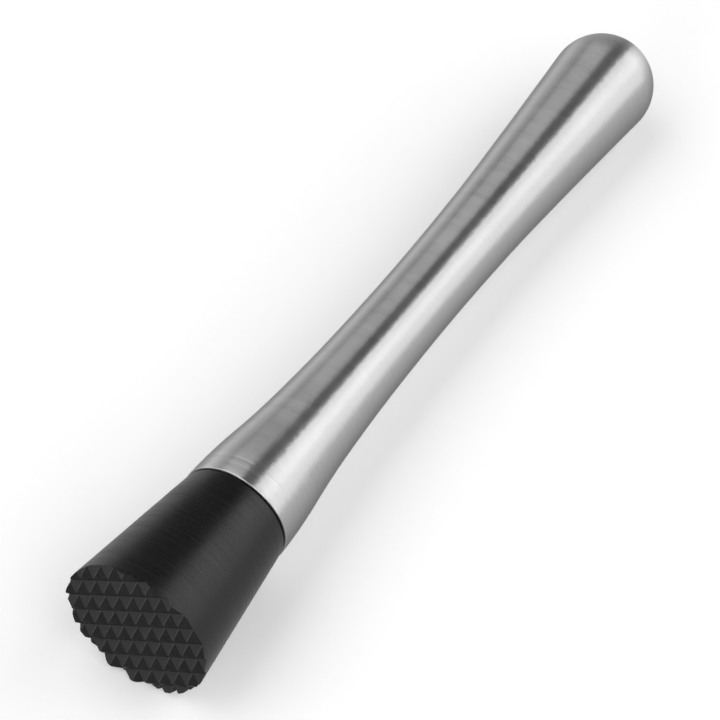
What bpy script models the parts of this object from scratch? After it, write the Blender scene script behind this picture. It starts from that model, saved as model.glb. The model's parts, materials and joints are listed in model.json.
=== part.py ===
"""Bar muddler: a hollow steel handle with a screw-on nylon head.

Every piece is modelled about one axis, local +Z, from the tips of the head's
teeth (z = 0) to the top of the handle's dome.  The empty "lying_pose" then
lays the whole muddler on its side, so that the head's edge and the dome both
touch the ground plane.  Metres, +Z up, origin at the middle of the underside.
"""
import math

import bmesh
import bpy
from mathutils import Vector

# ---------------------------------------------------------------- dimensions

TOTAL_LENGTH = 0.2042        # 8 inch class bar muddler
SEGMENTS = 48                # facets round a turned piece
GAP = 0.0003                 # kept between pieces that touch

# Head: a turned nylon cone
FACE_RADIUS = 0.01645        # at the tips of the teeth
HEAD_TOP_RADIUS = 0.01225    # where the cone meets the handle
SHOULDER_Z = 0.03560         # flat that faces the handle's rim
SHOULDER_ROUND = 0.0004

# Teeth: square pyramids left between two sets of V grooves
TOOTH_PITCH = 0.0039
TOOTH_HEIGHT = 0.00145
TIP_FLAT = 0.0004            # width of a tooth's blunt tip
GRID_TURN = math.radians(-31.0)
GRID_OFFSET = (0.37, 0.41)   # the tooth nearest the axis, in pitches

# Spigot on the head, with its O-ring groove
SPIGOT_RADIUS = 0.0109
SPIGOT_TOP_Z = 0.0422
SPIGOT_CHAMFER = 0.0005
RING_Z = 0.0390
RING_SECTION_RADIUS = 0.0010
RING_CENTRE_RADIUS = 0.0102
RING_SECTION_STEPS = 12

# Handle: outer radius at a few heights, the rest is a smooth curve
RIM_Z = SHOULDER_Z + GAP
WALL = 0.0007
RIM_ROUND = 0.00025
DOME_RADIUS = 0.01222
DOME_FLARE = math.radians(4.0)   # half angle of the bulb where the dome begins
HANDLE_STATIONS = (
    (RIM_Z + RIM_ROUND, 0.01234),
    (0.0412, 0.01214),
    (0.0472, 0.01162),
    (0.0572, 0.01045),
    (0.0692, 0.00957),
    (0.0852, 0.00887),
    (0.1102, 0.00853),
    (0.1372, 0.00904),
    (0.1572, 0.01004),
    (0.1752, 0.01115),
)
OUTER_STEP = 0.0060          # spacing of the rings of the outer surface
INNER_STEP = 0.0100
DOME_STEPS = 9

# Mouth plate: a shallow pressed cup, open towards the dome
PLATE_Z = SPIGOT_TOP_Z + 2 * GAP
PLATE_THICKNESS = 0.0012
PLATE_RADIUS = 0.0109
PLATE_HOLE_RADIUS = 0.0046
FLANGE_TOP_Z = 0.0472
FLANGE_TOP_RADIUS = 0.0105
FLANGE_THICKNESS = 0.0010

# M8 fastening
STUD_RADIUS = 0.0040
STUD_LENGTH = 0.0300
STUD_CHAMFER = 0.0007
STUD_TOP_Z = 0.0528
NUT_ACROSS_FLATS = 0.0140
NUT_HEIGHT = 0.0065
NUT_CHAMFER = 0.0008
NUT_Z = PLATE_Z + PLATE_THICKNESS + GAP
FASTENER_SEGMENTS = 32
THREAD_HOLE_RADIUS = STUD_RADIUS + GAP

STEEL = (0.60, 0.60, 0.60)
BRIGHT_STEEL = (0.66, 0.66, 0.67)
NYLON = (0.022, 0.022, 0.023)
RUBBER = (0.025, 0.025, 0.025)


# ------------------------------------------------------------------- helpers

def clear_scene():
    for obj in list(bpy.data.objects):
        bpy.data.objects.remove(obj, do_unlink=True)


def material(name, colour, roughness, metallic):
    mat = bpy.data.materials.new(name)
    mat.use_nodes = True
    shader = mat.node_tree.nodes["Principled BSDF"]
    shader.inputs["Base Color"].default_value = (*colour, 1.0)
    shader.inputs["Roughness"].default_value = roughness
    shader.inputs["Metallic"].default_value = metallic
    mat.diffuse_color = (*colour, 1.0)
    return mat


def add_object(name, bm, mat=None):
    """Turn a bmesh into a smooth-shaded object with one material."""
    bmesh.ops.recalc_face_normals(bm, faces=bm.faces)
    mesh = bpy.data.meshes.new(name)
    bm.to_mesh(mesh)
    bm.free()
    mesh.shade_smooth()
    mesh.set_sharp_from_angle(angle=math.radians(30.0))
    obj = bpy.data.objects.new(name, mesh)
    bpy.context.scene.collection.objects.link(obj)
    if mat:
        mesh.materials.append(mat)
    return obj


def turned(name, profile, mat=None, segments=SEGMENTS):
    """Solid of revolution about Z.  A profile that starts and ends on the axis
    makes a plain solid; any other profile is closed into a ring."""
    bm = bmesh.new()
    verts = [bm.verts.new((radius, 0.0, z)) for radius, z in profile]
    edges = [bm.edges.new(pair) for pair in zip(verts, verts[1:])]
    on_axis = profile[0][0] == 0.0 and profile[-1][0] == 0.0
    if not on_axis:
        edges.append(bm.edges.new((verts[-1], verts[0])))
    bmesh.ops.spin(bm, geom=verts + edges, cent=(0, 0, 0), axis=(0, 0, 1),
                   angle=math.tau, steps=segments, use_merge=True)
    bmesh.ops.remove_doubles(bm, verts=bm.verts, dist=1e-6)
    return add_object(name, bm, mat)


def arc(centre, radius, start, end, steps):
    """Points (r, z) on an arc; angles are measured from +r towards +z."""
    for i in range(steps + 1):
        a = start + (end - start) * i / steps
        yield centre[0] + radius * math.cos(a), centre[1] + radius * math.sin(a)


def cutter(obj):
    obj.hide_render = True
    obj.display_type = "WIRE"
    return obj


def intersect(obj, tool):
    mod = obj.modifiers.new("keep_inside", "BOOLEAN")
    mod.operation = "INTERSECT"
    mod.solver = "EXACT"
    mod.object = cutter(tool)


# -------------------------------------------------------------- handle curve

def dome_centre_z():
    return TOTAL_LENGTH - DOME_RADIUS


def curve_nodes():
    """The stations and the point where the curve runs into the dome."""
    bulb_end = (dome_centre_z() - DOME_RADIUS * math.sin(DOME_FLARE),
                DOME_RADIUS * math.cos(DOME_FLARE))
    return [*HANDLE_STATIONS, bulb_end]


def handle_radius(z):
    """Outer radius of the handle: a cubic Hermite curve through the stations."""
    nodes = curve_nodes()
    slopes = []
    for i, (z_i, r_i) in enumerate(nodes):
        before = nodes[max(i - 1, 0)]
        after = nodes[min(i + 1, len(nodes) - 1)]
        slopes.append((after[1] - before[1]) / (after[0] - before[0]))
    slopes[-1] = math.tan(DOME_FLARE)
    k = max(i for i in range(len(nodes) - 1) if i == 0 or nodes[i][0] <= z)
    (z0, r0), (z1, r1) = nodes[k], nodes[k + 1]
    span = z1 - z0
    t = (z - z0) / span
    return ((2 * t**3 - 3 * t**2 + 1) * r0 + (t**3 - 2 * t**2 + t) * span * slopes[k]
            + (3 * t**2 - 2 * t**3) * r1 + (t**3 - t**2) * span * slopes[k + 1])


def evenly(start, end, step):
    count = max(1, round((end - start) / step))
    return [start + (end - start) * i / count for i in range(count + 1)]


# -------------------------------------------------------------------- pieces

def make_handle_shell():
    """Thin steel shell: dome, bulb, waist and mouth band, open at the mouth."""
    bulb_z, _ = curve_nodes()[-1]
    band_z = HANDLE_STATIONS[1][0]
    centre = (0.0, dome_centre_z())
    bulb_angle = -DOME_FLARE
    outer_dome = list(arc(centre, DOME_RADIUS, math.pi / 2, bulb_angle, DOME_STEPS))
    heights = evenly(RIM_Z + RIM_ROUND, band_z, OUTER_STEP)[:-1] + evenly(band_z, bulb_z, OUTER_STEP)
    outer_wall = [(handle_radius(z), z) for z in reversed(heights[:-1])]
    lip = list(arc((handle_radius(heights[0]) - RIM_ROUND, RIM_Z + RIM_ROUND),
                   RIM_ROUND, 0.0, -math.pi / 2, 3))[1:]
    inner_heights = evenly(RIM_Z, bulb_z, INNER_STEP)[:-1]
    inner_wall = [(handle_radius(max(z, heights[0])) - WALL, z) for z in inner_heights]
    inner_dome = list(arc(centre, DOME_RADIUS - WALL, bulb_angle, math.pi / 2, DOME_STEPS))
    profile = outer_dome + outer_wall + lip + inner_wall + inner_dome
    profile[0] = (0.0, profile[0][1])
    profile[-1] = (0.0, profile[-1][1])
    return turned("handle_shell", profile, material("brushed_steel", STEEL, 0.34, 1.0))


def make_tooth_field():
    """Block whose lower side is the grid of pyramids, wider than the head."""
    cells = math.ceil(FACE_RADIUS / TOOTH_PITCH) + 2
    half_tip = TIP_FLAT / 2
    depth = TOOTH_HEIGHT
    bm = bmesh.new()

    def place(u, v, z):
        x, y = (u + GRID_OFFSET[0] * TOOTH_PITCH, v + GRID_OFFSET[1] * TOOTH_PITCH)
        c, s = math.cos(GRID_TURN), math.sin(GRID_TURN)
        return bm.verts.new((c * x - s * y, s * x + c * y, z))

    span = range(-cells, cells + 2)
    valley = {(i, j): place((i - 0.5) * TOOTH_PITCH, (j - 0.5) * TOOTH_PITCH, depth)
              for i in span for j in span}
    for i in span[:-1]:
        for j in span[:-1]:
            corners = [valley[i, j], valley[i + 1, j], valley[i + 1, j + 1], valley[i, j + 1]]
            tips = [place(i * TOOTH_PITCH + a * half_tip, j * TOOTH_PITCH + b * half_tip, 0.0)
                    for a, b in ((-1, -1), (1, -1), (1, 1), (-1, 1))]
            bm.faces.new(tips)
            for k in range(4):
                n = (k + 1) % 4
                bm.faces.new((corners[k], corners[n], tips[n], tips[k]))
    rim = [edge for edge in bm.edges if edge.is_boundary]
    walls = bmesh.ops.extrude_edge_only(bm, edges=rim)["geom"]
    top = [item for item in walls if isinstance(item, bmesh.types.BMVert)]
    for vert in top:
        vert.co.z = STUD_TOP_Z
    top_edges = [item for item in walls if isinstance(item, bmesh.types.BMEdge)
                 and item.is_boundary]
    bmesh.ops.contextual_create(bm, geom=top_edges)
    return add_object("tooth_field", bm)


def make_head():
    """Nylon cone with a spigot, an O-ring groove, a blind stud hole and teeth."""
    slope = (FACE_RADIUS - HEAD_TOP_RADIUS) / SHOULDER_Z
    below = -TOOTH_HEIGHT
    groove = RING_SECTION_RADIUS + GAP
    groove_floor = RING_CENTRE_RADIUS - groove
    hole_bottom = STUD_TOP_Z - STUD_LENGTH - GAP
    shoulder = list(arc((HEAD_TOP_RADIUS - SHOULDER_ROUND, SHOULDER_Z - SHOULDER_ROUND),
                        SHOULDER_ROUND, math.pi / 2, 0.0, 3))
    profile = [
        (0.0, hole_bottom),
        (THREAD_HOLE_RADIUS, hole_bottom),
        (THREAD_HOLE_RADIUS, SPIGOT_TOP_Z),
        (SPIGOT_RADIUS - SPIGOT_CHAMFER, SPIGOT_TOP_Z),
        (SPIGOT_RADIUS, SPIGOT_TOP_Z - SPIGOT_CHAMFER),
        (SPIGOT_RADIUS, RING_Z + groove),
        (groove_floor, RING_Z + groove),
        (groove_floor, RING_Z - groove),
        (SPIGOT_RADIUS, RING_Z - groove),
        (SPIGOT_RADIUS, SHOULDER_Z),
        *shoulder,
        (FACE_RADIUS - slope * below, below),
        (0.0, below),
    ]
    head = turned("head", profile, material("black_nylon", NYLON, 0.42, 0.0))
    intersect(head, make_tooth_field())
    return head


def make_seal_ring():
    section = list(arc((RING_CENTRE_RADIUS, RING_Z), RING_SECTION_RADIUS,
                       0.0, -math.tau, RING_SECTION_STEPS))[:-1]
    return turned("seal_ring", section, material("seal_rubber", RUBBER, 0.6, 0.0))


def make_mouth_plate():
    """Pressed cup: a disc with a stud hole and a flange that leans inwards."""
    top = PLATE_Z + PLATE_THICKNESS
    profile = [
        (FLANGE_TOP_RADIUS, FLANGE_TOP_Z),
        (PLATE_RADIUS, top),
        (PLATE_RADIUS - PLATE_THICKNESS / 2, PLATE_Z),
        (PLATE_HOLE_RADIUS, PLATE_Z),
        (PLATE_HOLE_RADIUS, top),
        (PLATE_RADIUS - FLANGE_THICKNESS, top),
        (FLANGE_TOP_RADIUS - FLANGE_THICKNESS, FLANGE_TOP_Z),
    ]
    return turned("mouth_plate", profile, material("pressed_steel", BRIGHT_STEEL, 0.4, 1.0))


def make_weld_nut():
    """Hexagon with its corners chamfered at both ends and a through hole."""
    corner = NUT_ACROSS_FLATS / math.sqrt(3.0)
    bm = bmesh.new()
    bmesh.ops.create_cone(bm, cap_ends=True, segments=6, radius1=corner, radius2=corner,
                          depth=2 * NUT_HEIGHT)
    bmesh.ops.translate(bm, verts=bm.verts, vec=(0, 0, NUT_Z + NUT_HEIGHT / 2))
    nut = add_object("weld_nut", bm, material("nut_steel", BRIGHT_STEEL, 0.38, 1.0))
    top = NUT_Z + NUT_HEIGHT
    blank = turned("nut_blank", [
        (corner - NUT_CHAMFER, top),
        (corner + GAP, top - NUT_CHAMFER),
        (corner + GAP, NUT_Z + NUT_CHAMFER),
        (corner - NUT_CHAMFER, NUT_Z),
        (THREAD_HOLE_RADIUS, NUT_Z),
        (THREAD_HOLE_RADIUS, top),
    ], segments=FASTENER_SEGMENTS)
    intersect(nut, blank)
    return nut


def make_head_stud():
    bottom = STUD_TOP_Z - STUD_LENGTH
    profile = [
        (0.0, STUD_TOP_Z),
        (STUD_RADIUS - STUD_CHAMFER, STUD_TOP_Z),
        (STUD_RADIUS, STUD_TOP_Z - STUD_CHAMFER),
        (STUD_RADIUS, bottom + STUD_CHAMFER),
        (STUD_RADIUS - STUD_CHAMFER, bottom),
        (0.0, bottom),
    ]
    return turned("head_stud", profile, material("stud_steel", BRIGHT_STEEL, 0.3, 1.0),
                  FASTENER_SEGMENTS)


# ------------------------------------------------------------------ assembly

def lying_tilt():
    """Slope of the axis when the head's edge and the dome share one ground plane."""
    slope = (FACE_RADIUS - HEAD_TOP_RADIUS) / SHOULDER_Z
    edge_radius = FACE_RADIUS - slope * TOOTH_HEIGHT
    run = dome_centre_z() - TOOTH_HEIGHT
    reach = math.hypot(run, edge_radius)
    return math.atan2(edge_radius, run) - math.asin(DOME_RADIUS / reach)


def world_corners(pieces):
    """Lowest and highest corner of the finished pieces, in world space."""
    bpy.context.view_layer.update()
    depsgraph = bpy.context.evaluated_depsgraph_get()
    points = []
    for piece in pieces:
        finished = piece.evaluated_get(depsgraph)
        mesh = finished.to_mesh()
        points += [finished.matrix_world @ vert.co for vert in mesh.vertices]
        finished.to_mesh_clear()
    low = Vector(min(p[axis] for p in points) for axis in range(3))
    high = Vector(max(p[axis] for p in points) for axis in range(3))
    return low, high


def lay_down(pieces):
    """Lay the muddler on its side, head towards -X, origin under its middle."""
    pose = bpy.data.objects.new("lying_pose", None)
    bpy.context.scene.collection.objects.link(pose)
    for obj in bpy.data.objects:
        if obj is not pose:
            obj.parent = pose
    pose.rotation_euler = (0.0, math.pi / 2 + lying_tilt(), 0.0)
    low, high = world_corners(pieces)
    middle = (low + high) / 2
    pose.location = (-middle.x, 0.0, -low.z)


def main():
    clear_scene()
    lay_down([
        make_handle_shell(),
        make_mouth_plate(),
        make_weld_nut(),
        make_head(),
        make_head_stud(),
        make_seal_ring(),
    ])


main()
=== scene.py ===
"""Looks of the bar muddler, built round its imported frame.

Shapes are made about the muddler's own axis: z = 0 is the plane of the tooth
tips, +z runs to the dome.  settle() then lays each piece where the frame's
screw joint says the axis is, and keeps the place of every vertex about the
axis in the attribute "about_axis", which the materials read.  Metres.
"""

import json
import math

import bmesh
import bpy
from mathutils import Matrix, Vector
from mathutils.bvhtree import BVHTree


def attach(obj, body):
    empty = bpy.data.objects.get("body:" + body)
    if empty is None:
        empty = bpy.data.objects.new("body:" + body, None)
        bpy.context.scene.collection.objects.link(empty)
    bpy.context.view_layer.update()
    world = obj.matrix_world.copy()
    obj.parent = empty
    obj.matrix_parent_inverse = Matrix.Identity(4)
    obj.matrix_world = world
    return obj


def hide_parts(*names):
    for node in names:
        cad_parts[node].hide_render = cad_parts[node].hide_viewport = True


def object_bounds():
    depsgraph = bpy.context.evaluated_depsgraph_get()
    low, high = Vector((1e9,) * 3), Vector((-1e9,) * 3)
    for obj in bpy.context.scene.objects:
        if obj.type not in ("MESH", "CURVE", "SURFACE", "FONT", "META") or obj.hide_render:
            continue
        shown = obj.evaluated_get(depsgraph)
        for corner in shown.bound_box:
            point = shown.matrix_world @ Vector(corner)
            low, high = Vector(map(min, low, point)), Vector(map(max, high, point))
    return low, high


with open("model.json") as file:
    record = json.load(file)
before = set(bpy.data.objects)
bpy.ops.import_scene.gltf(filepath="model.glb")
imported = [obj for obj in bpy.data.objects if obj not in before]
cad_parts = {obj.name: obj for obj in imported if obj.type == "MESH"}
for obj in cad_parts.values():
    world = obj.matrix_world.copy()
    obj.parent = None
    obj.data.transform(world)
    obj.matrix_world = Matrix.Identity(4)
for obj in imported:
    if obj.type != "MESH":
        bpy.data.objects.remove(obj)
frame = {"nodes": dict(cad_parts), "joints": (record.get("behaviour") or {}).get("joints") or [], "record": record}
cad_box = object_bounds()

# ---------------------------------------------------------------- dimensions

SEGMENTS = 192               # facets round a turned piece
SHEET = 0.0007               # wall of the handle

# Teeth, as in the CAD head
TOOTH_PITCH = 0.0039
TOOTH_HEIGHT = 0.00145
TIP_FLAT = 0.0004
GRID_TURN = math.radians(-31.0)
GRID_OFFSET = (0.37, 0.41)     # the tooth nearest the axis, in pitches
TOOTH_ROUND = 0.00014          # wear along the ridges of the teeth
EDGE_ROUND = 0.0007            # rounded rim of the working face

# Handle
RIM_ROUND = 0.00025
HANDLE_SPLIT = 5               # points of the curve from one CAD station to the next
LINING_EVERY = 4               # the inside takes one in so many points of the outside
LINING_FROM_LIP = 0.001        # the lining starts this far inside the mouth
LINING_FROM_AXIS = 0.0005      # and ends this near the dome's middle
CREASE_RISE, CREASE_WIDTH, CREASE_DEPTH = 0.0045, 0.0003, 0.000035   # above the lip
CREASE_SPAN = 3                # widths that the groove fades over, to either side
CREASE_STEPS = 4               # points per width

# Head
SHOULDER_ROUND = 0.0003
SEAM = 0.0002                  # extra depth of the dark seam under the lip
CONE_END = 0.004               # the cone is measured this far from its two ends
CONE_STATIONS = (0.030, 0.024, 0.018, 0.012, 0.006, 0.003, 0.002)
CUT_PAST = 0.0001              # the blank runs this far past the tooth tips
SPIGOT_CHAMFER = 0.0005
SPIGOT_FILLET = 0.0003         # at the foot of the spigot
GROOVE_SLACK = 0.0003          # room above and below the O-ring
GROOVE_ROUND = 0.00015
HOLE_CLEARANCE = 0.00005       # round the stud
HOLE_END_GAP = 0.0001          # below the stud
HOLE_MOUTH, HOLE_MOUTH_DEPTH = 0.00045, 0.0004   # countersink, out from the stud

# Mouth plate
PLATE_FLANGE = 0.0010          # sheet of the flange and its weld
PLATE_GAP = 0.00008            # weld line between flange and shell
PLATE_BEND = 0.0008
PLATE_TOP_GAP = 0.0003         # weld line under the nut
PLATE_INNER_BEND = 0.0005
BURR, FLANGE_BURR = 0.0002, 0.0003   # broken edges of the hole and of the flange

# M8 thread
THREAD_PITCH = 0.00125
THREAD_DEPTH = 0.00070
THREAD_CLEARANCE = 0.00006
THREAD_COLUMNS = 96
THREAD_ROWS = 14               # per turn
CREST_END = 0.12               # where the flank starts, in half turns from the crest
FLANK_SPAN = 0.68              # and how many half turns it takes
FLANK_ROUNDING = 0.35          # share of the flank that is an S-curve
STUD_CHAMFER = 0.0009

# Weld nut
NUT_CHAMFER = 0.0009
NUT_CHAMFER_SLOPE = 0.6        # its height over its width
NUT_BLANK_MARGIN = 0.0004      # the turned blank stands this far out of the hexagon
NUT_EDGE_ROUND = 0.0002
NUT_BORE_MARGIN = 0.0012       # the bore's tool runs past both faces

# Reading the CAD meshes
RAY_START = 0.1                # further from the axis than any piece
COLUMN_HALF_WIDTH = 2e-5       # round y = 0, where the outline's vertices are read
ON_OUTSIDE = 5e-5              # a vertex this near the outside is on it
JUST_INSIDE = 1e-5             # keeps a height off the ends of a piece
ON_AXIS = 1e-7                 # a radius under this is a pole

# ------------------------------------------------------------ the axis frame

screw = next(j for j in frame["joints"] if j["name"] == "head_turn")
working_face = next(m for m in frame["record"]["mounts"] if m["name"] == "working_face")


def axis_frame():
    """Frame of the muddler's axis, with its origin on the plane of the tooth tips."""
    z_axis = -Vector(screw["axis"]).normalized()
    y_axis = Vector((0.0, 1.0, 0.0))
    x_axis = y_axis.cross(z_axis)
    on_axis = Vector(screw["pos_m"])
    to_tips = (Vector(working_face["pos_m"]) - on_axis).dot(z_axis)
    turn = Matrix((x_axis, y_axis, z_axis)).transposed().to_4x4()
    return Matrix.Translation(on_axis + z_axis * to_tips) @ turn


AXIS_FRAME = axis_frame()
TO_AXIS = AXIS_FRAME.inverted()


def measured(node):
    """A CAD node's vertices about the axis, and a tree to cast rays at."""
    mesh = frame["nodes"][node].data
    verts = [TO_AXIS @ v.co for v in mesh.vertices]
    return verts, BVHTree.FromPolygons(verts, [tuple(p.vertices) for p in mesh.polygons])


CAD = {node: measured(node) for node in frame["nodes"]}


def places(node):
    return CAD[node][0]


def heights(node):
    """Lowest and highest place of a CAD node along the muddler's axis."""
    along = [p.z for p in places(node)]
    return min(along), max(along)


def outer_radius(node, z):
    """Radius of a CAD node's outside at one height, measured on its mesh."""
    inwards = Vector((-1.0, 0.0, 0.0))
    place = CAD[node][1].ray_cast(Vector((RAY_START, 0.0, z)), inwards)[0]
    if place is None:
        raise ValueError(f"{node} has no side at {z}")
    return place.x


def outline(node, low, high):
    """(radius, z) of a turned CAD node's outside between two heights, head end first."""
    column = {(round(p.x, 7), round(p.z, 7)) for p in places(node)
              if p.x > 0.0 and abs(p.y) < COLUMN_HALF_WIDTH and low < p.z < high}
    outside = [(r, z) for r, z in column if r > outer_radius(node, z) - ON_OUTSIDE]
    return sorted(outside, key=lambda point: point[1])


# ------------------------------------------------------------------- helpers

def arc(centre, radius, start, end, steps):
    """Points (radius, z) on an arc; angles run from +radius towards +z."""
    for i in range(steps + 1):
        a = start + (end - start) * i / steps
        yield centre[0] + radius * math.cos(a), centre[1] + radius * math.sin(a)


def smooth_through(points, split, after):
    """Catmull-Rom curve through (radius, z) points, heading for a point past its end."""
    before = 2 * Vector(points[0]) - Vector(points[1])
    knots = [before, *(Vector(p) for p in points), Vector(after)]
    curve = []
    for p0, p1, p2, p3 in zip(knots, knots[1:], knots[2:], knots[3:]):
        for k in range(split):
            t = k / split
            curve.append(tuple(0.5 * (2 * p1 + (p2 - p0) * t
                                      + (2 * p0 - 5 * p1 + 4 * p2 - p3) * t**2
                                      + (3 * p1 - p0 - 3 * p2 + p3) * t**3)))
    curve.append(tuple(points[-1]))
    return curve


def inset(profile, depth):
    """The same (radius, z) profile moved inwards by a wall thickness."""
    moved = []
    for i, (radius, z) in enumerate(profile):
        before, after = profile[max(i - 1, 0)], profile[min(i + 1, len(profile) - 1)]
        run = Vector((after[0] - before[0], after[1] - before[1])).normalized()
        moved.append((max(radius - depth * run.y, 0.0), z + depth * run.x))
    return moved


def link(name, data):
    obj = bpy.data.objects.new(name, data)
    bpy.context.scene.collection.objects.link(obj)
    return obj


def from_bmesh(name, bm):
    bmesh.ops.recalc_face_normals(bm, faces=bm.faces)
    mesh = bpy.data.meshes.new(name)
    bm.to_mesh(mesh)
    bm.free()
    return link(name, mesh)


def surface_grid(name, rings, closed):
    """Mesh from rings of points about the axis; a ring of one point is a pole.

    The UV map runs round the axis in u and along the profile in v, so that its
    tangent follows the direction of turning and brushing."""
    bm = bmesh.new()
    uv = bm.loops.layers.uv.new("round_the_axis")
    count = max(len(ring) for ring in rings)
    rows = [[bm.verts.new(p) for p in ring] * (count if len(ring) == 1 else 1)
            for ring in rings]
    if closed:
        rows.append(rows[0])
    for j, (lower, upper) in enumerate(zip(rows, rows[1:])):
        for k in range(count):
            n = (k + 1) % count
            corners = [(lower[k], k, j), (lower[n], k + 1, j),
                       (upper[n], k + 1, j + 1), (upper[k], k, j + 1)]
            kept = [c for i, c in enumerate(corners)
                    if c[0] not in [earlier[0] for earlier in corners[:i]]]
            face = bm.faces.new([c[0] for c in kept])
            for loop, (_, u, v) in zip(face.loops, kept):
                loop[uv].uv = (u / count, v / len(rows))
    return from_bmesh(name, bm)


def turned(name, profile, segments=SEGMENTS):
    """Piece of revolution; a profile that leaves the axis open is closed into a ring."""
    rings = []
    for radius, z in profile:
        if radius < ON_AXIS:
            rings.append([(0.0, 0.0, z)])
        else:
            angles = (math.tau * k / segments for k in range(segments))
            rings.append([(radius * math.cos(a), radius * math.sin(a), z)
                          for a in angles])
    return surface_grid(name, rings, closed=len(rings[0]) > 1 or len(rings[-1]) > 1)


def boolean(obj, operation, tool):
    """Cut obj with tool, keep the result and drop the tool."""
    cut = obj.modifiers.new("cut", "BOOLEAN")
    cut.operation = operation
    cut.solver = "EXACT"
    cut.object = tool
    bake_modifiers(obj)
    bpy.data.objects.remove(tool)


def bevel(obj, width, segments, angle):
    edge = obj.modifiers.new("bevel", "BEVEL")
    edge.width = width
    edge.segments = segments
    edge.limit_method = "ANGLE"
    edge.angle_limit = math.radians(angle)
    bake_modifiers(obj)


def bake_modifiers(obj):
    bpy.context.view_layer.update()
    finished = obj.evaluated_get(bpy.context.evaluated_depsgraph_get())
    mesh = bpy.data.meshes.new_from_object(finished)
    old = obj.data
    obj.modifiers.clear()
    obj.data = mesh
    bpy.data.meshes.remove(old)


def settle(obj, mat, body, node, sharp=30.0):
    """Lay a finished piece in the frame, with its material and body, in place of its CAD node."""
    mesh = obj.data
    about = mesh.attributes.new("about_axis", "FLOAT_VECTOR", "POINT")
    about.data.foreach_set("vector", [c for v in mesh.vertices for c in v.co])
    mesh.transform(AXIS_FRAME)
    mesh.shade_smooth()
    mesh.set_sharp_from_angle(angle=math.radians(sharp))
    mesh.materials.clear()
    mesh.materials.append(mat)
    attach(obj, body)
    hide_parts(node)
    return obj


# ----------------------------------------------------------------- materials

class Finish:
    """A material under construction: its shader and a few short node makers."""

    def __init__(self, name, colour, roughness, metallic=0.0):
        self.material = bpy.data.materials.new(name)
        self.material.use_nodes = True
        self.tree = self.material.node_tree
        self.shader = self.tree.nodes["Principled BSDF"]
        self.set(self.shader, {"Base Color": (*colour, 1.0), "Roughness": roughness,
                               "Metallic": metallic})
        self.about = self.node("ShaderNodeAttribute")
        self.about.attribute_name = "about_axis"
        self.bumped = None

    def node(self, kind, **settings):
        made = self.tree.nodes.new(kind)
        for key, value in settings.items():
            setattr(made, key, value)
        return made

    def set(self, node, values):
        for key, value in values.items():
            if isinstance(value, bpy.types.NodeSocket):
                self.tree.links.new(value, node.inputs[key])
            else:
                node.inputs[key].default_value = value

    def stretched(self, across, along):
        """Place about the axis, scaled across it and along it (features per metre)."""
        scale = self.node("ShaderNodeVectorMath", operation="MULTIPLY")
        self.set(scale, {0: self.about.outputs["Vector"], 1: (across, across, along)})
        return scale.outputs["Vector"]

    def noise(self, across, along, detail=2.0, roughness=0.5):
        made = self.node("ShaderNodeTexNoise")
        self.set(made, {"Vector": self.stretched(across, along), "Scale": 1.0,
                        "Detail": detail, "Roughness": roughness})
        return made.outputs["Fac"]

    def remap(self, value, low, high, to_low, to_high):
        made = self.node("ShaderNodeMapRange", clamp=True)
        self.set(made, {"Value": value, "From Min": low, "From Max": high,
                        "To Min": to_low, "To Max": to_high})
        return made.outputs["Result"]

    def math(self, operation, a, b):
        made = self.node("ShaderNodeMath", operation=operation)
        self.set(made, {0: a, 1: b})
        return made.outputs["Value"]

    def mix(self, factor, colour_a, colour_b):
        made = self.node("ShaderNodeMix", data_type="RGBA")
        self.tree.links.new(factor, made.inputs["Factor"])
        # sockets 6, 7 and 2 are A, B and Result of the colour mix
        made.inputs[6].default_value = (*colour_a, 1.0)
        made.inputs[7].default_value = (*colour_b, 1.0)
        return made.outputs[2]

    def bump(self, height, distance):
        """Add a bump on top of those made before it."""
        made = self.node("ShaderNodeBump")
        self.set(made, {"Height": height, "Distance": distance, "Strength": 1.0})
        if self.bumped:
            self.set(made, {"Normal": self.bumped})
        self.bumped = made.outputs["Normal"]
        self.set(self.shader, {"Normal": self.bumped})

    def brushed_round(self, anisotropy):
        """Brushed round the axis: highlights stretch along the axis."""
        tangent = self.node("ShaderNodeTangent", direction_type="UV_MAP",
                            uv_map="round_the_axis")
        self.set(self.shader, {"Anisotropic": anisotropy, "Anisotropic Rotation": 0.25,
                               "Tangent": tangent.outputs["Tangent"]})


def brushed_steel():
    steel = Finish("brushed_steel", (0.5, 0.5, 0.5), 0.34, metallic=1.0)
    steel.brushed_round(0.9)
    steel.set(steel.shader, {"Specular Tint": (0.45, 0.45, 0.45, 1.0)})
    fine = steel.noise(45.0, 5200.0, detail=3.0, roughness=0.65)
    coarse = steel.noise(70.0, 1300.0, detail=2.0)
    mottle = steel.noise(500.0, 900.0, detail=2.0)
    cloud = steel.noise(120.0, 60.0, detail=3.0)
    streaks = steel.math("ADD", steel.math("MULTIPLY", fine, 0.65),
                         steel.math("MULTIPLY", coarse, 0.35))
    tone = steel.mix(steel.remap(streaks, 0.36, 0.64, 0.0, 1.0),
                     (0.49, 0.49, 0.495), (0.53, 0.53, 0.525))
    steel.set(steel.shader, {
        "Base Color": tone,
        "Roughness": steel.math("ADD", steel.remap(streaks, 0.35, 0.65, 0.30, 0.37),
                                steel.remap(cloud, 0.35, 0.65, -0.02, 0.02)),
    })
    steel.bump(fine, 0.0000025)
    steel.bump(mottle, 0.00004)
    steel.bump(cloud, 0.00002)
    return steel.material


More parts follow.
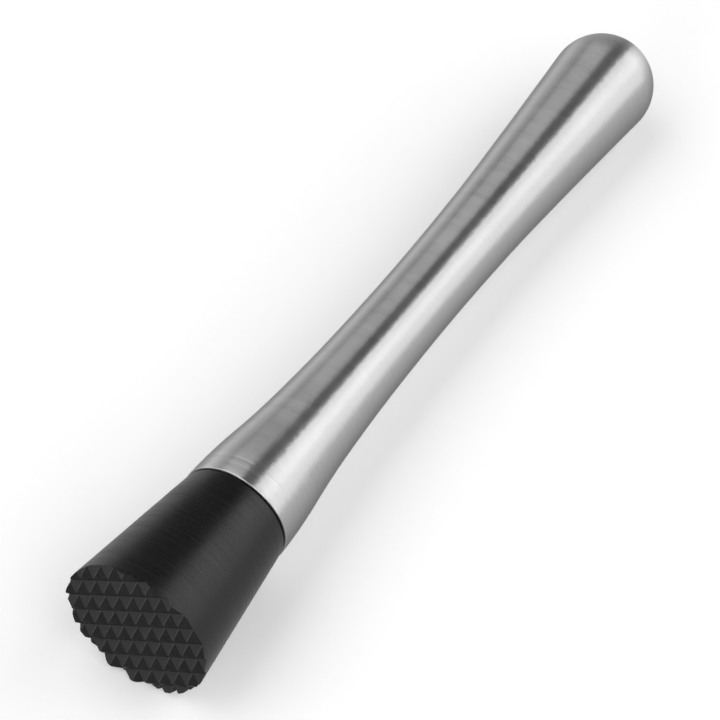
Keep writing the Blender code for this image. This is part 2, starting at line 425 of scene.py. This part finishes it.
def black_nylon():
    nylon = Finish("black_nylon", (0.010, 0.010, 0.0105), 0.38)
    nylon.set(nylon.shader, {"Specular IOR Level": 0.33})
    ripple = nylon.noise(70.0, 1900.0, detail=2.0)
    grain = nylon.noise(2600.0, 2600.0, detail=2.0)
    cloud = nylon.noise(140.0, 140.0, detail=3.0)
    nylon.set(nylon.shader, {
        "Base Color": nylon.mix(nylon.remap(cloud, 0.35, 0.65, 0.0, 1.0),
                                (0.0028, 0.0028, 0.0029), (0.0040, 0.0040, 0.0042)),
        "Roughness": nylon.math("ADD", nylon.remap(ripple, 0.30, 0.70, 0.30, 0.42),
                                nylon.remap(grain, 0.3, 0.7, -0.03, 0.03)),
    })
    nylon.bump(ripple, 0.00002)
    nylon.bump(grain, 0.000003)
    return nylon.material


def pressed_steel():
    sheet = Finish("pressed_steel", (0.58, 0.58, 0.58), 0.36, metallic=1.0)
    rings = sheet.noise(900.0, 900.0, detail=3.0)
    cloud = sheet.noise(260.0, 260.0, detail=2.0)
    sheet.set(sheet.shader, {
        "Base Color": sheet.mix(sheet.remap(cloud, 0.4, 0.65, 0.0, 1.0),
                                (0.60, 0.60, 0.60), (0.46, 0.42, 0.36)),
        "Roughness": sheet.remap(rings, 0.3, 0.7, 0.28, 0.46),
    })
    sheet.bump(rings, 0.00001)
    return sheet.material


def nut_steel():
    nut = Finish("nut_steel", (0.55, 0.55, 0.56), 0.34, metallic=1.0)
    grain = nut.noise(1500.0, 400.0, detail=3.0)
    nut.set(nut.shader, {
        "Base Color": nut.mix(nut.remap(grain, 0.35, 0.65, 0.0, 1.0),
                              (0.50, 0.50, 0.51), (0.60, 0.60, 0.61)),
        "Roughness": nut.remap(grain, 0.3, 0.7, 0.28, 0.44),
    })
    nut.bump(grain, 0.000008)
    return nut.material


def stud_steel():
    stud = Finish("stud_steel", (0.6, 0.6, 0.6), 0.28, metallic=1.0)
    drawn = stud.noise(300.0, 2500.0, detail=2.0)
    grease = stud.noise(420.0, 300.0, detail=3.0)
    stud.set(stud.shader, {
        "Base Color": stud.mix(stud.remap(grease, 0.45, 0.7, 0.0, 1.0),
                               (0.60, 0.60, 0.60), (0.42, 0.41, 0.39)),
        "Roughness": stud.remap(drawn, 0.3, 0.7, 0.22, 0.38),
    })
    stud.bump(drawn, 0.000006)
    return stud.material


def seal_rubber():
    rubber = Finish("seal_rubber", (0.016, 0.016, 0.016), 0.62)
    grain = rubber.noise(3500.0, 3500.0, detail=3.0)
    bloom = rubber.noise(350.0, 350.0, detail=3.0)
    rubber.set(rubber.shader, {
        "Base Color": rubber.mix(rubber.remap(bloom, 0.45, 0.75, 0.0, 1.0),
                                 (0.013, 0.013, 0.013), (0.026, 0.026, 0.027)),
        "Roughness": rubber.remap(grain, 0.3, 0.7, 0.52, 0.72),
    })
    rubber.bump(grain, 0.000006)
    return rubber.material


# -------------------------------------------------------------------- pieces

def handle_outline():
    """Smooth outside of the handle, from above the rolled lip to the dome's top."""
    rim_z, apex_z = heights("handle_shell")
    first_z = rim_z + RIM_ROUND
    stations = outline("handle_shell", first_z + JUST_INSIDE, apex_z - JUST_INSIDE)
    stations.insert(0, (outer_radius("handle_shell", first_z + JUST_INSIDE), first_z))
    last_radius, last_z = stations[-1]
    over_the_top = (-last_radius, last_z)
    return smooth_through([*stations, (0.0, apex_z)], HANDLE_SPLIT, after=over_the_top)


def creased(profile, crease_z):
    """The profile with a faint groove rolled into it at one height."""
    reach = CREASE_SPAN * CREASE_WIDTH
    last = next(i for i, (_, z) in enumerate(profile) if z > crease_z + reach)
    first = max(i for i in range(last) if profile[i][1] < crease_z - reach)
    (radius_a, z_a), (radius_b, z_b) = profile[first], profile[last]
    groove = []
    for i in range(-CREASE_SPAN * CREASE_STEPS, CREASE_SPAN * CREASE_STEPS + 1):
        z = crease_z + i * CREASE_WIDTH / CREASE_STEPS
        radius = radius_a + (radius_b - radius_a) * (z - z_a) / (z_b - z_a)
        groove.append((radius - CREASE_DEPTH * math.exp(-(i / CREASE_STEPS)**2), z))
    return profile[:first + 1] + groove + profile[last:]


def make_handle():
    """Thin steel shell with a rolled lip at its mouth."""
    rim_z, apex_z = heights("handle_shell")
    outside = creased(handle_outline(), rim_z + CREASE_RISE)
    lip_radius, lip_z = outside[0]
    lip = list(arc((lip_radius - RIM_ROUND, lip_z), RIM_ROUND, -math.pi / 2, 0.0, 6))[:-1]
    lining = [(radius, z) for radius, z in inset(outside, SHEET)[2:-1:LINING_EVERY]
              if z > rim_z + LINING_FROM_LIP and radius > LINING_FROM_AXIS]
    mouth = (lip_radius - SHEET, rim_z)
    profile = [(0.0, apex_z - SHEET), *reversed(lining), mouth, *lip, *outside]
    return settle(turned("handle", profile), brushed_steel(), "handle", "handle_shell")


def tooth_field(top):
    """Block whose lower side is the grid of pyramids, wider than the head."""
    cells = math.ceil(outer_radius("head", TOOTH_HEIGHT) / TOOTH_PITCH) + 2
    half_tip = TIP_FLAT / 2
    turn_cos, turn_sin = math.cos(GRID_TURN), math.sin(GRID_TURN)
    bm = bmesh.new()

    def corner(u, v, z):
        x, y = u + GRID_OFFSET[0] * TOOTH_PITCH, v + GRID_OFFSET[1] * TOOTH_PITCH
        return bm.verts.new((turn_cos * x - turn_sin * y, turn_sin * x + turn_cos * y, z))

    span = range(-cells, cells + 2)
    valley = {(i, j): corner((i - 0.5) * TOOTH_PITCH, (j - 0.5) * TOOTH_PITCH,
                             TOOTH_HEIGHT)
              for i in span for j in span}
    for i in span[:-1]:
        for j in span[:-1]:
            base = [valley[i, j], valley[i + 1, j],
                    valley[i + 1, j + 1], valley[i, j + 1]]
            tips = [corner(i * TOOTH_PITCH + a * half_tip,
                           j * TOOTH_PITCH + b * half_tip, 0.0)
                    for a, b in ((-1, -1), (1, -1), (1, 1), (-1, 1))]
            bm.faces.new(tips)
            for k in range(4):
                n = (k + 1) % 4
                bm.faces.new((base[k], base[n], tips[n], tips[k]))
    ridges = [edge for edge in bm.edges
              if {v.co.z < TOOTH_HEIGHT / 2 for v in edge.verts} == {True, False}]
    rim = [edge for edge in bm.edges if edge.is_boundary]
    walls = bmesh.ops.extrude_edge_only(bm, edges=rim)["geom"]
    for item in walls:
        if isinstance(item, bmesh.types.BMVert):
            item.co.z = top
    lid = [item for item in walls
           if isinstance(item, bmesh.types.BMEdge) and item.is_boundary]
    bmesh.ops.contextual_create(bm, geom=lid)
    bmesh.ops.bevel(bm, geom=ridges, offset=TOOTH_ROUND, offset_type="OFFSET", segments=2,
                    profile=0.5, affect="EDGES", clamp_overlap=True)
    return from_bmesh("tooth_field", bm)


def head_profile():
    """Outside and stud hole of the nylon head, before its teeth are cut."""
    spigot_top = heights("head")[1]
    ring_low, ring_high = heights("seal_ring")
    ring_z = (ring_low + ring_high) / 2
    spigot = outer_radius("head", (ring_high + spigot_top) / 2)
    groove = outer_radius("head", ring_z)
    shoulder_z = max(p.z for p in places("head")
                     if math.hypot(p.x, p.y) > spigot + SPIGOT_FILLET) - SEAM
    low_z, high_z = CONE_END, shoulder_z - CONE_END
    low_radius, high_radius = outer_radius("head", low_z), outer_radius("head", high_z)

    def cone(z):
        return low_radius + (high_radius - low_radius) * (z - low_z) / (high_z - low_z)

    stud = outer_radius("head_stud", ring_z)
    hole_bottom = heights("head_stud")[0] - HOLE_END_GAP
    half_groove = (ring_high - ring_low) / 2 + GROOVE_SLACK
    top, bottom = ring_z + half_groove, ring_z - half_groove
    groove_corners = [
        (spigot, top + GROOVE_ROUND), (spigot - GROOVE_ROUND, top),
        (groove + GROOVE_ROUND, top), (groove, top - GROOVE_ROUND),
        (groove, bottom + GROOVE_ROUND), (groove + GROOVE_ROUND, bottom),
        (spigot - GROOVE_ROUND, bottom), (spigot, bottom - GROOVE_ROUND),
    ]
    edge = cone(shoulder_z)
    return [
        (0.0, hole_bottom), (stud + HOLE_CLEARANCE, hole_bottom),
        (stud + HOLE_CLEARANCE, spigot_top - HOLE_MOUTH_DEPTH),
        (stud + HOLE_MOUTH, spigot_top),
        (spigot - SPIGOT_CHAMFER, spigot_top),
        *arc((spigot - SPIGOT_CHAMFER, spigot_top - SPIGOT_CHAMFER), SPIGOT_CHAMFER,
             math.pi / 2, 0.0, 5),
        *groove_corners,
        (spigot, shoulder_z + SPIGOT_FILLET), (spigot + SPIGOT_FILLET, shoulder_z),
        *arc((edge - SHOULDER_ROUND, shoulder_z - SHOULDER_ROUND), SHOULDER_ROUND,
             math.pi / 2, 0.0, 6),
        *((cone(z), z) for z in CONE_STATIONS),
        *arc((cone(EDGE_ROUND) - EDGE_ROUND, EDGE_ROUND - CUT_PAST), EDGE_ROUND,
             0.0, -math.pi / 2, 10),
        (0.0, -CUT_PAST),
    ]


def make_head():
    """Turned nylon cone with its milled teeth."""
    head = turned("nylon_head", head_profile())
    boolean(head, "INTERSECT", tooth_field(heights("head_stud")[1]))
    return settle(head, black_nylon(), "head", "head", sharp=14.0)


def make_seal_ring():
    """O-ring, thick enough to touch the floor of its groove."""
    low, high = heights("seal_ring")
    z = (low + high) / 2
    floor = outer_radius("head", z)
    section = (outer_radius("seal_ring", z) - floor) / 2
    profile = list(arc((floor + section, z), section, 0.0, math.tau, 28))[:-1]
    return settle(turned("o_ring", profile), seal_rubber(), "seal_ring", "seal_ring")


def thread_depth_at(phase):
    """Share of the thread's depth at a place in a turn: 0 on the crest, 1 in the root."""
    from_crest = 2 * abs((phase + 0.5) % 1.0 - 0.5)
    flank = min(max((from_crest - CREST_END) / FLANK_SPAN, 0.0), 1.0)
    s_curve = flank * flank * (3 - 2 * flank)
    return s_curve * FLANK_ROUNDING + flank * (1 - FLANK_ROUNDING)


def threaded(name, major, low, high, chamfer):
    """Right-hand threaded rod, its ends chamfered below the root of the thread."""
    rows = math.ceil((high - low) / THREAD_PITCH * THREAD_ROWS)
    rings = [[(0.0, 0.0, low)]]
    for j in range(rows + 1):
        z = low + (high - low) * j / rows
        from_end = min(z - low, high - z)
        cap = major - max(chamfer - from_end, 0.0)
        ring = []
        for k in range(THREAD_COLUMNS):
            angle = math.tau * k / THREAD_COLUMNS
            phase = z / THREAD_PITCH - angle / math.tau
            radius = min(major - THREAD_DEPTH * thread_depth_at(phase), cap)
            ring.append((radius * math.cos(angle), radius * math.sin(angle), z))
        rings.append(ring)
    rings.append([(0.0, 0.0, high)])
    return surface_grid(name, rings, closed=False)


def make_stud():
    low, high = heights("head_stud")
    major = outer_radius("head_stud", (low + high) / 2)
    stud = threaded("stud", major, low, high, STUD_CHAMFER)
    return settle(stud, stud_steel(), "head", "head_stud", sharp=50.0)


def make_nut():
    """Weld nut: chamfered hexagon with a real thread, in step with the stud's."""
    low, high = heights("weld_nut")
    corner = max(math.hypot(p.x, p.y) for p in places("weld_nut"))
    major = outer_radius("head_stud", high) + THREAD_CLEARANCE
    bm = bmesh.new()
    bmesh.ops.create_cone(bm, cap_ends=True, segments=6, radius1=corner, radius2=corner,
                          depth=2 * (high - low))
    bmesh.ops.translate(bm, verts=bm.verts, vec=(0, 0, (low + high) / 2))
    nut = from_bmesh("nut", bm)
    bevel(nut, NUT_EDGE_ROUND, 2, 30.0)
    face, side = corner - NUT_CHAMFER, corner + NUT_BLANK_MARGIN
    drop = NUT_CHAMFER_SLOPE * NUT_CHAMFER
    blank = turned("nut_blank", [(0.0, low), (face, low), (side, low + drop),
                                 (side, high - drop), (face, high), (0.0, high)],
                   segments=96)
    boolean(nut, "INTERSECT", blank)
    bore = threaded("nut_bore", major, low - NUT_BORE_MARGIN, high + NUT_BORE_MARGIN, 0.0)
    boolean(nut, "DIFFERENCE", bore)
    return settle(nut, nut_steel(), "handle", "weld_nut")


def make_mouth_plate():
    """Pressed cup with rounded bends, and the weld bead that joins it to the shell."""
    low, flange_top = heights("mouth_plate")
    hole = min(math.hypot(p.x, p.y) for p in places("mouth_plate"))
    top = heights("weld_nut")[0] - PLATE_TOP_GAP
    outer = outer_radius("handle_shell", low) - SHEET - PLATE_GAP
    inner = outer - PLATE_FLANGE
    lean = outer_radius("handle_shell", flange_top) - outer_radius("handle_shell", low)
    profile = [
        (hole, top - BURR), (hole, low + BURR), (hole + BURR, low),
        *arc((outer - PLATE_BEND, low + PLATE_BEND), PLATE_BEND, -math.pi / 2, 0.0, 6),
        (outer + lean, flange_top - BURR), (outer + lean - FLANGE_BURR, flange_top),
        (inner + lean + FLANGE_BURR, flange_top),
        (inner + lean, flange_top - FLANGE_BURR),
        (inner, top + PLATE_INNER_BEND), (inner - PLATE_INNER_BEND, top),
        (hole + BURR, top),
    ]
    return settle(turned("plate", profile), pressed_steel(), "handle", "mouth_plate")


# --------------------------------------------------------------------- stage

STUDIO_REACH = 2.6             # distance of the softboxes
FLOOR_SIZE = 2 * STUDIO_REACH  # any further out it would be unlit and dark

# The long softboxes run along X.  Each has the angles of its two long edges, in
# degrees from straight up and positive towards -Y, its radiance, and its two ends.
SOFTBOXES = {
    "key_top": (18.0, 36.0, 0.90, -3.0, 2.2),
    "key_near": (36.0, 75.0, 1.30, -3.0, 2.2),
    "key_far": (21.0, 62.0, 2.8, 2.2, 6.0),
    "key_far_low": (62.0, 75.0, 1.5, 2.2, 6.0),
    "key_low": (75.0, 87.0, 0.9, -3.0, 6.0),
    "rear_high": (-48.0, -6.0, 1.35, -3.5, 1.3),
    "rear_low": (-87.0, -51.0, 0.80, -3.5, 1.3),
}

CAMERA_AZIMUTH = -58.394
CAMERA_ELEVATION = 47.316
CAMERA_LENS = 145.0
CAMERA_DEPTH = 0.62366
FRAMING_RIGHT, FRAMING_UP = 0.00927, 0.01055   # the box's middle from the view's centre


def direction(azimuth, elevation):
    a, e = math.radians(azimuth), math.radians(elevation)
    return Vector((math.sin(a) * math.cos(e), -math.cos(a) * math.cos(e), math.sin(e)))


def studio_paper():
    mat = bpy.data.materials.new("studio_paper")
    mat.use_nodes = True
    nodes, links = mat.node_tree.nodes, mat.node_tree.links
    shader = nodes["Principled BSDF"]
    fibre = nodes.new("ShaderNodeTexNoise")
    fibre.inputs["Scale"].default_value = 900.0
    tone = nodes.new("ShaderNodeMapRange")
    tone.inputs["To Min"].default_value = 0.80
    tone.inputs["To Max"].default_value = 0.90
    place = nodes.new("ShaderNodeTexCoord")
    links.new(place.outputs["Object"], fibre.inputs["Vector"])
    links.new(fibre.outputs["Fac"], tone.inputs["Value"])
    links.new(tone.outputs["Result"], shader.inputs["Roughness"])
    shader.inputs["Base Color"].default_value = (0.93, 0.93, 0.93, 1.0)
    shader.inputs["Specular IOR Level"].default_value = 0.2
    shader.inputs["Emission Color"].default_value = (1.0, 1.0, 1.0, 1.0)
    shader.inputs["Emission Strength"].default_value = 0.12
    return mat


def make_floor():
    bm = bmesh.new()
    bmesh.ops.create_grid(bm, x_segments=1, y_segments=1, size=FLOOR_SIZE / 2)
    floor = from_bmesh("floor", bm)
    floor.location.z = cad_box[0].z
    floor.data.materials.append(studio_paper())
    floor.visible_glossy = False


def aim(name, centre, back, width, height, radiance):
    """Rectangular softbox at centre; back points away from the muddler."""
    data = bpy.data.lights.new(name, "AREA")
    data.shape = "RECTANGLE"
    data.size, data.size_y = width, height
    data.energy = radiance * math.pi * width * height
    light = link(name, data)
    up = Vector((0.0, 0.0, 1.0))
    side = up.cross(back).normalized() if abs(back.x) > 0.5 else Vector((1.0, 0.0, 0.0))
    turn = Matrix((side, back.cross(side), back)).transposed().to_4x4()
    light.matrix_world = Matrix.Translation(centre) @ turn
    light.visible_camera = False


def strip(name, low, high, radiance, left, right):
    """Softbox along X from left to right, between two angles from straight up."""
    half = math.radians(high - low) / 2
    middle = math.radians(high + low) / 2
    back = Vector((0.0, -math.sin(middle), math.cos(middle)))
    centre = Vector(((left + right) / 2, 0.0, 0.0)) + back * STUDIO_REACH * math.cos(half)
    aim(name, centre, back, right - left, 2 * STUDIO_REACH * math.sin(half), radiance)


def make_world():
    """Dim studio, pale along the horizon, and below it what metal sees of the floor."""
    world = bpy.data.worlds.new("studio")
    bpy.context.scene.world = world
    world.use_nodes = True
    nodes, links = world.node_tree.nodes, world.node_tree.links
    place = nodes.new("ShaderNodeTexCoord")
    axes = nodes.new("ShaderNodeSeparateXYZ")
    links.new(place.outputs["Generated"], axes.inputs["Vector"])

    def ramp(axis, *values):
        made = nodes.new("ShaderNodeMapRange")
        links.new(axes.outputs[axis], made.inputs["Value"])
        for socket, value in zip(("From Min", "From Max", "To Min", "To Max"), values):
            made.inputs[socket].default_value = value
        return made.outputs["Result"]

    def combine(operation, a, b):
        made = nodes.new("ShaderNodeMath")
        made.operation = operation
        for socket, value in zip(made.inputs, (a, b)):
            if isinstance(value, float):
                socket.default_value = value
            else:
                links.new(value, socket)
        return made.outputs["Value"]

    in_front = combine("MULTIPLY", ramp("X", -0.9, -0.2, 0.7, 0.0),
                       ramp("Z", -0.15, -0.03, 1.0, 0.0))
    below = combine("MULTIPLY", ramp("Z", -0.8, -0.05, 0.64, 1.0),
                    combine("SUBTRACT", 1.0, in_front))
    strength = combine("MULTIPLY", below, ramp("Z", 0.12, 0.32, 0.90, 0.09))
    links.new(strength, nodes["Background"].inputs["Strength"])
    nodes["Background"].inputs["Color"].default_value = (1.0, 1.0, 1.0, 1.0)


def make_light():
    for name, box in SOFTBOXES.items():
        strip(name, *box)
    front = direction(-90.0, 13.0)
    aim("front", front * STUDIO_REACH, front, width=2.0, height=1.1, radiance=5.0)
    bpy.context.scene.view_settings.view_transform = "Standard"


def make_camera():
    data = bpy.data.cameras.new("camera")
    data.lens = CAMERA_LENS
    data.sensor_width = 36.0
    data.clip_start = 0.01
    camera = link("camera", data)
    back = direction(CAMERA_AZIMUTH, CAMERA_ELEVATION)
    look = (-back).to_track_quat("-Z", "Y")
    right, up = look @ Vector((1, 0, 0)), look @ Vector((0, 1, 0))
    middle = (cad_box[0] + cad_box[1]) / 2
    camera.rotation_mode = "QUATERNION"
    camera.rotation_quaternion = look
    camera.location = (middle + back * CAMERA_DEPTH
                       - right * FRAMING_RIGHT - up * FRAMING_UP)
    bpy.context.scene.camera = camera


make_handle()
make_mouth_plate()
make_nut()
make_head()
make_stud()
make_seal_ring()
make_floor()
make_world()
make_light()
make_camera()
